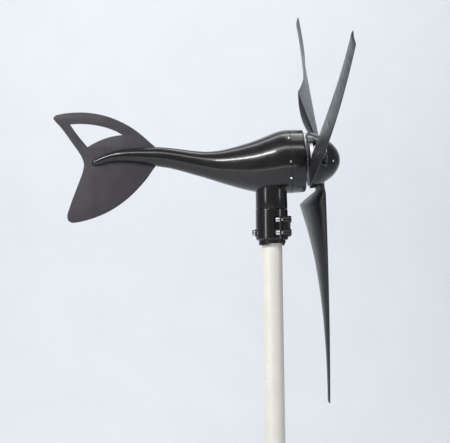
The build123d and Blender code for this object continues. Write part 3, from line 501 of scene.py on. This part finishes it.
# ------------------------------------------------------------------ tail fin
FIN_EDGE = [
    (-262.0, 15.0), (-266.0, 4.0), (-277.5, -8.5), (-302.0, -42.0), (-331.0, -73.5), (-360.0, -98.0), (-389.0, -116.4), (-418.0, -129.6), (-446.8, -138.6), (-468.0, -143.0),
    (-481.0, -143.6), (-489.5, -138.0), (-491.6, -127.0), (-486.5, -109.0), (-470.8, -66.0), (-460.9, -40.4), (-453.6, -18.9), (-451.2, -4.4), (-454.7, 10.6),
    (-465.5, 29.6), (-479.9, 50.0), (-494.3, 71.0), (-508.8, 90.0), (-520.6, 103.0), (-524.6, 109.8), (-521.0, 115.6), (-509.0, 119.4), (-484.5, 122.7),
    (-460.3, 123.6), (-436.2, 122.0), (-412.0, 117.8), (-387.8, 110.8), (-363.7, 100.6), (-339.6, 87.4), (-315.5, 70.0), (-291.5, 48.5), (-277.1, 35.5), (-266.0, 25.0),
]
WIN = [
    [(-484.6, 94.6), (-465.3, 95.6), (-445.9, 94.9), (-426.6, 92.6), (-407.3, 88.6), (-388.0, 82.6), (-373.5, 76.4), (-358.0, 67.6)],
    [(-358.0, 67.6), (-378.4, 64.8), (-392.9, 61.4), (-412.3, 54.6), (-429.2, 46.4), (-442.4, 38.8)],
    [(-442.4, 38.8), (-456.2, 55.6), (-470.6, 74.2), (-484.6, 94.6)],
]


def resample_closed(pts, step):
    p = np.array(pts + [pts[0]], float)
    ext = np.vstack([p[-4:-1], p, p[1:4]])
    d = np.concatenate([[0], np.cumsum(np.linalg.norm(np.diff(ext, axis=0), axis=1))])
    t0, t1 = d[3], d[3 + len(p) - 1]
    t = np.linspace(t0, t1, max(8, int((t1 - t0) / step)), endpoint=False)
    return [(interp(d, ext[:, 0], q), interp(d, ext[:, 1], q)) for q in t]


def resample_open(pts, step):
    p = np.array(pts, float)
    d = np.concatenate([[0], np.cumsum(np.linalg.norm(np.diff(p, axis=0), axis=1))])
    t = np.linspace(0, d[-1], max(3, int(d[-1] / step)))
    return [(interp(d, p[:, 0], q), interp(d, p[:, 1], q)) for q in t]


outer = resample_closed(FIN_EDGE, 3.0)
win = []
for seg in WIN:
    r = resample_open(seg, 3.0)
    win += r[:-1]
win_r = rounded([(x, y, 2.6 if any(abs(x - s[0][0]) + abs(y - s[0][1]) < 0.01 for s in WIN) else 0.0) for x, y in win], steps=4)
cu = bpy.data.curves.new("fin", "CURVE")
cu.dimensions = "2D"
cu.fill_mode = "BOTH"
for loop in (outer, win_r):
    sp = cu.splines.new("POLY")
    sp.points.add(len(loop) - 1)
    for i, (x, z) in enumerate(loop):
        sp.points[i].co = (x * MM, z * MM, 0, 1)
    sp.use_cyclic_u = True
cu.extrude = 1.0 * MM
cu.bevel_depth = 0.45 * MM
cu.bevel_resolution = 3
cu.offset = -0.45 * MM
tmp = bpy.data.objects.new("fin_curve", cu)
bpy.context.scene.collection.objects.link(tmp)
bpy.context.view_layer.update()
me = bpy.data.meshes.new_from_object(tmp.evaluated_get(bpy.context.evaluated_depsgraph_get()))
bpy.data.objects.remove(tmp)
me.transform(Matrix(((1, 0, 0, 0), (0, 0, -1, 0), (0, 1, 0, 0.204), (0, 0, 0, 1))))
bm = bmesh.new(); bm.from_mesh(me)
bmesh.ops.remove_doubles(bm, verts=bm.verts, dist=2e-6)
bmesh.ops.recalc_face_normals(bm, faces=bm.faces)
bm.to_mesh(me); bm.free()
fin = bpy.data.objects.new("tail_fin_plate", me)
bpy.context.scene.collection.objects.link(fin)
shade(fin, 50.0)
finish_piece(fin, "nacelle", "charcoal_satin", "tail_fin")

# ------------------------------------------------------------------ blades
R_ROOT, R_CORNER, R_TIP = 70.0, 107.2, 616.6


def quad(u, v0, v1, v2):
    return v0 * (1 - u) * (1 - 2 * u) + 4 * v1 * u * (1 - u) + v2 * u * (2 * u - 1)


def softmin(a, b, k):
    m = min(a, b)
    return m - k * math.log(math.exp(-(a - m) / k) + math.exp(-(b - m) / k))


def station(r):
    w = (r - R_ROOT) / (R_TIP - R_ROOT)
    u = (r - R_CORNER) / (R_TIP - R_CORNER)
    ramp = 139.2 + (r - R_CORNER) * (139.2 - 40.0) / (R_CORNER - R_ROOT)
    ramp = -softmin(-ramp, -38.6, 2.0)
    chord = softmin(ramp, quad(u, 140.6, 66.5, 31.8), 3.0)
    beta = quad(u, 0.3893, 0.1474, -0.0325)
    w2 = max(w, -0.02)
    s_le = 29.56 - 0.97 * w2 + 5.54 * w2**2 - 7.79 * w2**3
    t_le = 0.14 + 42.71 * w2 + 98.73 * w2**2 - 39.28 * w2**3
    return t_le, s_le, chord, beta


def blade_ring(r, n=26, thick=1.0):
    t0, s0, chord, beta = station(r)
    d = np.array([math.cos(beta), -math.sin(beta)])
    nn = np.array([-math.sin(beta), -math.cos(beta)])
    p0 = np.array([t0, s0])
    air, foot = [], []
    ft0, fs0, fch, fb = 0.14, 29.56, 40.0, 0.4204
    fd = np.array([math.cos(fb), -math.sin(fb)])
    fn = np.array([-math.sin(fb), -math.cos(fb)])
    fc = np.array([ft0, fs0]) + fd * fch / 2 + fn * 6.0
    for k in range(2 * n):
        a = math.pi - math.pi * k / n
        xi = (1 + math.cos(a)) / 2
        ca, sa = math.cos(a), math.sin(a)
        te = 0.75 * min(1.0, xi * 1.5)
        if k <= n:
            off = (0.39 * math.sqrt(xi) * (1 - xi)) * chord + te
        else:
            off = (0.22 * xi * (1 - xi) - 0.035 * math.sqrt(xi) * (1 - xi)) * chord - te
        if k == n:
            off = 0.0
            xi += 0.6 / chord
        mid = 0.30 * xi * (1 - xi) * chord
        off = mid + (off - mid) * thick
        air.append(p0 + d * xi * chord + nn * off)
        x = 19.0 * (abs(ca) ** 0.42) * (1 if ca > 0 else -1)
        y = 5.7 * (abs(sa) ** 0.42) * (1 if sa > 0 else -1)
        foot.append(fc + fd * x + fn * y)
    f = min(1.0, max(0.0, (r - 60.0) / 22.0))
    f = f * f * (3 - 2 * f)
    return np.array(foot) * (1 - f) + np.array(air) * f


def make_blade(name, ph, node):
    er = E1 * math.cos(ph) + E2 * math.sin(ph)
    et = -E1 * math.sin(ph) + E2 * math.cos(ph)
    rs = np.concatenate([[22.6, 22.7, 23.2, 24.2], np.linspace(26, 58, 8), np.linspace(60, 96, 19), np.linspace(97.5, 121, 20), np.linspace(124, 606, 84), [609.0, 611.5, 613.4, 614.8, 615.8, 616.4, 616.6]])
    rings = []
    for r in rs:
        thick = 1.0
        if r > 609:
            t = (r - 609) / 7.6
            thick = math.sqrt(max(0.02, 1 - t * t))
        ring = blade_ring(float(r), thick=thick)
        if r < 24.2:
            c = ring.mean(0)
            ring = c + (ring - c) * (0.90 + 0.1 * math.sqrt(max(0.0, 1 - ((24.2 - r) / 1.6) ** 2)))
        rings.append(HUB + er * r + ring[:, :1] * et + ring[:, 1:] * AX)
    ob = ring_loft(name, rings, angle=60.0)
    finish_piece(ob, "rotor", "black_nylon", node)
    return ob


for nm, ph, node in zip(("rotor_blade_near", "rotor_blade_far", "rotor_blade_lower"), PHASES, ("blade_near", "blade_far", "blade_lower")):
    make_blade(nm, ph, node)

# ------------------------------------------------------------------ spinner
SP = [(67.8, -11.0), (67.4, 0.0), (64.6, 8.0), (60.6, 17.5), (54.4, 27.5), (47.2, 37.6), (40.0, 47.6), (32.6, 54.4), (24.8, 60.0), (16.0, 64.2), (7.0, 66.6), (0.0, 67.1)]
SPI = [(65.2, -11.0), (64.8, -1.0), (62.0, 6.6), (58.0, 16.0), (52.0, 25.6), (44.8, 35.8), (37.8, 45.4), (30.8, 51.8), (23.2, 57.3), (14.8, 61.4), (6.5, 63.8), (0.0, 64.4)]
SP_ANG = PHASES[0] + ROOT_TURN + math.radians(27.0)


def smooth_profile(pts, n):
    p = np.array(pts, float)
    d = np.concatenate([[0], np.cumsum(np.linalg.norm(np.diff(p, axis=0), axis=1))])
    t = np.linspace(0, d[-1], n)
    return [(max(0.0, float(interp(d, p[:, 0], q))), float(interp(d, p[:, 1], q))) for q in t]


so, si = smooth_profile(SP, 56), smooth_profile(SPI, 40)
so[-1] = (0.0, 67.1); si[-1] = (0.0, 64.4)
spinner = turned("spinner", so + si[::-1], HUB, AX, E1, E2, n=168, angle=None)
SCREW_R, SCREW_S = 40.0, 44.6
posts = []
for k in range(3):
    a = SP_ANG + k * 2 * math.pi / 3
    c = HUB + (E1 * math.cos(a) + E2 * math.sin(a)) * SCREW_R
    post = turned("post", [(0, 35.2), (6.0, 35.2), (6.0, 64.0), (0, 64.0)], c, AX, E1, E2, n=48, angle=None)
    post = boolean(post, turned("limit", [(max(0.0, r - 0.6), s - 0.6) for r, s in so] + [(0.0, 20.0), (60.0, 20.0)], HUB, AX, E1, E2, n=120, angle=None), "INTERSECT")
    spinner = boolean(spinner, post, "UNION")
    rec = turned("rec", [(0, SCREW_S), (4.2, SCREW_S), (4.4, SCREW_S + 0.6), (4.9, 62.0), (0, 62.0)], c, AX, E1, E2, n=40, angle=None)
    spinner = boolean(spinner, rec, "DIFFERENCE")
    screws = cap_screw("s", c + AX * (SCREW_S + 0.05), AX, 3.1, 2.2, 1.4, 1.45, 13.4, dome=0.5)
    posts.append(screws)
for ph in PHASES:
    er = E1 * math.cos(ph + ROOT_TURN) + E2 * math.sin(ph + ROOT_TURN)
    et = -E1 * math.sin(ph + ROOT_TURN) + E2 * math.cos(ph + ROOT_TURN)
    poly = rounded([(-23.0, -30.0), (20.0, -30.0), (20.0, -1.0, 2.0), (34.0, -1.0, 4.0), (34.0, 31.6, 6.0), (-23.0, 31.6, 6.0)], steps=8)
    cut = prism("cut", poly, HUB + er * 30.0, et, AX, er, 60.0)
    spinner = boolean(spinner, cut, "DIFFERENCE")
spinner.name = "nose_spinner"
shade(spinner, 32.0)
finish_piece(spinner, "rotor", "black_gloss_plastic", "spinner")
ss = join("nose_screw_set", posts)
shade(ss, 35.0)
finish_piece(ss, "rotor", "zinc_steel", "spinner_screws")

# ------------------------------------------------------------------ mast sleeve
CB_Y, CB_Z, LB_Z = -35.4, (28.7, 59.5), 30.2
sleeve = turned("sleeve", rounded([
    (9.7, 62.0), (9.7, 64.2), (8.0, 64.2), (8.0, 66.0), (14.95, 66.0), (14.95, 86.0), (38.6, 86.0, 1.6), (38.9, 15.5, 1.0), (36.6, 12.6, 1.0), (32.6, 12.0, 0.8), (32.0, 0.0, 1.4), (24.3, 0.0, 0.6), (24.3, 62.0)], steps=4), O, Z, X, Y, n=144, angle=None)
pocket = prism("pocket", rounded([(3.5, -60.0), (16.5, -60.0), (16.5, -27.5, 1.5), (3.5, -27.5, 3.0)], steps=5), Z * 19.0, X, Y, Z, 49.0)
sleeve = boolean(sleeve, pocket, "DIFFERENCE")
ear1 = prism("ear", rounded([(16.2, -22.0), (16.2, -41.5, 1.4), (21.0, -41.5, 1.4), (21.0, -22.0)], steps=4), Z * 19.0, X, Y, Z, 49.0)
sleeve = boolean(sleeve, ear1, "UNION")
ear2 = prism("ear", rounded([(23.0, -20.0), (23.0, -41.5, 1.4), (38.0, -41.5, 4.0), (42.2, -36.0, 3.0), (42.2, -20.0, 5.0), (34.0, -12.0, 3.0), (26.5, -12.0)], steps=5), Z * 19.0, X, Y, Z, 49.0)
sleeve = boolean(sleeve, ear2, "UNION")
for z in CB_Z:
    boss = turned("boss", rounded([(0, 23.0), (8.2, 23.0), (8.2, 44.4, 1.8), (0, 44.4)], steps=5), np.array([0, CB_Y, z]), X, Y, Z, n=48, angle=None)
    sleeve = boolean(sleeve, boss, "UNION")
pad = turned("pad", rounded([(0, 31.0), (9.0, 31.0), (9.0, 41.0, 1.0), (0, 41.0)], steps=4), np.array([0, 0, LB_Z]), -X, Y, Z, n=48, angle=None)
sleeve = boolean(sleeve, pad, "UNION")
for c0, c1 in (((20.8, -44.0, -1.0), (23.6, 0.0, 64.0)), ((-9.0, -50.0, -4.0), (53.0, 10.0, 4.0)), ((-10.3, -40.0, -0.5), (-8.7, -20.0, 12.5))):
    lo, hi = np.array(c0), np.array(c1)
    cut = prism("cut", [(lo[0], lo[1]), (hi[0], lo[1]), (hi[0], hi[1]), (lo[0], hi[1])], Z * lo[2], X, Y, Z, hi[2] - lo[2])
    sleeve = boolean(sleeve, cut, "DIFFERENCE")
for z in CB_Z:
    hole = turned("hole", [(0, 13.0), (4.3, 13.0), (4.3, 42.6), (0, 42.6)], np.array([0, CB_Y, z]), X, Y, Z, n=40, angle=None)
    sleeve = boolean(sleeve, hole, "DIFFERENCE")
hole = turned("hole", [(0, 20.0), (4.1, 20.0), (4.1, 45.0), (0, 45.0)], np.array([0, 0, LB_Z]), -X, Y, Z, n=40, angle=None)
sleeve = boolean(sleeve, hole, "DIFFERENCE")
inner = turned("inner", [(0, -2.0), (24.25, -2.0), (24.25, 62.0), (0, 62.0)], O, Z, X, Y, n=144, angle=None)
sleeve = boolean(sleeve, inner, "DIFFERENCE")
sleeve.name = "mast_clamp_casting"
shade(sleeve, 34.0)
finish_piece(sleeve, "mast_adapter", "black_gloss_paint", "mast_sleeve")

cb = join("clamp_bolt_pair", [cap_screw("b", np.array([14.6, CB_Y, z]), -X, 6.5, 8.0, 3.4, 4.0, 26.8, dome=0.12) for z in CB_Z])
shade(cb, 35.0)
finish_piece(cb, "mast_adapter", "zinc_steel", "clamp_bolts")

# ------------------------------------------------------------------ stage: pale sweep and the mast pipe
def stage_material(name, col, rough, vary=0.02):
    return material(name, col, rough, vary=vary, rough_vary=0.03, scale=3.0, bump=0.0)


FZ = -1.35
prof = [(6.0, FZ), (-3.2, FZ)]
pts = [(-9.0, FZ)] + [(1.6, FZ)]
for t in np.linspace(0, math.pi / 2, 20):
    pts.append((2.2 + 1.6 * math.sin(t), FZ + 1.6 - 1.6 * math.cos(t)))
pts.append((3.8, 6.0))
verts, faces = [], []
for i, (y, z) in enumerate(pts):
    verts += [(-9.0, y, z), (9.0, y, z)]
    if i:
        faces.append((2 * i - 2, 2 * i - 1, 2 * i + 1, 2 * i))
me = bpy.data.meshes.new("sweep"); me.from_pydata(verts, [], faces)
sweep = bpy.data.objects.new("sweep", me)
bpy.context.scene.collection.objects.link(sweep)
me.polygons.foreach_set("use_smooth", [True] * len(me.polygons))
sweep.data.materials.append(stage_material("sweep_paper", (0.80, 0.82, 0.85), 0.9))

pole = turned("mast_pipe", rounded([(21.0, FZ * 1000 + 1), (24.15, FZ * 1000 + 1), (24.15, 61.0, 0.8), (21.0, 61.0, 0.8)], steps=3), O, Z, X, Y, n=96, angle=40.0)
pm = material("mast_paint", (0.66, 0.645, 0.58), 0.34, vary=0.05, rough_vary=0.08, scale=14, bump=0.08, peel=(120.0, 0.08, 0.05))
pole.data.materials.append(pm)


# ------------------------------------------------------------------ soft studio light
def area(name, loc, target, size, power, colour=(1, 1, 1)):
    l = bpy.data.lights.new(name, "AREA")
    l.shape = "RECTANGLE"
    l.size, l.size_y = size
    l.energy = power
    l.color = colour
    o = bpy.data.objects.new(name, l)
    bpy.context.scene.collection.objects.link(o)
    o.location = loc
    d = Vector(target) - Vector(loc)
    o.rotation_euler = d.to_track_quat("-Z", "Y").to_euler()
    return o


area("key_strip", (-2.35, -1.95, 2.05), (-2.0, 0, 0.15), (2.5, 0.34), 105, (1.0, 0.985, 0.97))
area("long_soft", (-0.1, -2.0, 2.25), (-0.1, 0, 0.15), (2.6, 0.5), 22, (1.0, 0.985, 0.98))
area("top_soft", (0.3, 0.1, 2.6), (0, 0, 0.1), (1.6, 0.8), 9)
area("side_left", (-2.5, -2.3, 0.4), (0, 0, 0.1), (0.45, 1.8), 24, (1.0, 0.98, 0.96))
area("fill_right", (2.6, -1.6, 0.6), (0.1, 0, 0.2), (0.30, 1.6), 12)
area("low_card", (-0.6, -2.6, -1.0), (-0.1, 0, 0.1), (2.4, 0.35), 5.0, (1.0, 0.90, 0.90))
area("sweep_wash", (0.0, 1.2, 3.6), (0, 3.6, 0.4), (6.0, 1.2), 72, (0.97, 0.99, 1.0))
area("floor_wash", (0.0, 1.0, 3.2), (0, 2.2, -1.3), (5.0, 2.0), 8)

w = bpy.data.worlds.new("w")
bpy.context.scene.world = w
w.use_nodes = True
w.node_tree.nodes["Background"].inputs[0].default_value = (0.80, 0.86, 0.95, 1)
w.node_tree.nodes["Background"].inputs[1].default_value = 0.31
bpy.context.scene.view_settings.view_transform = "Standard"

import json
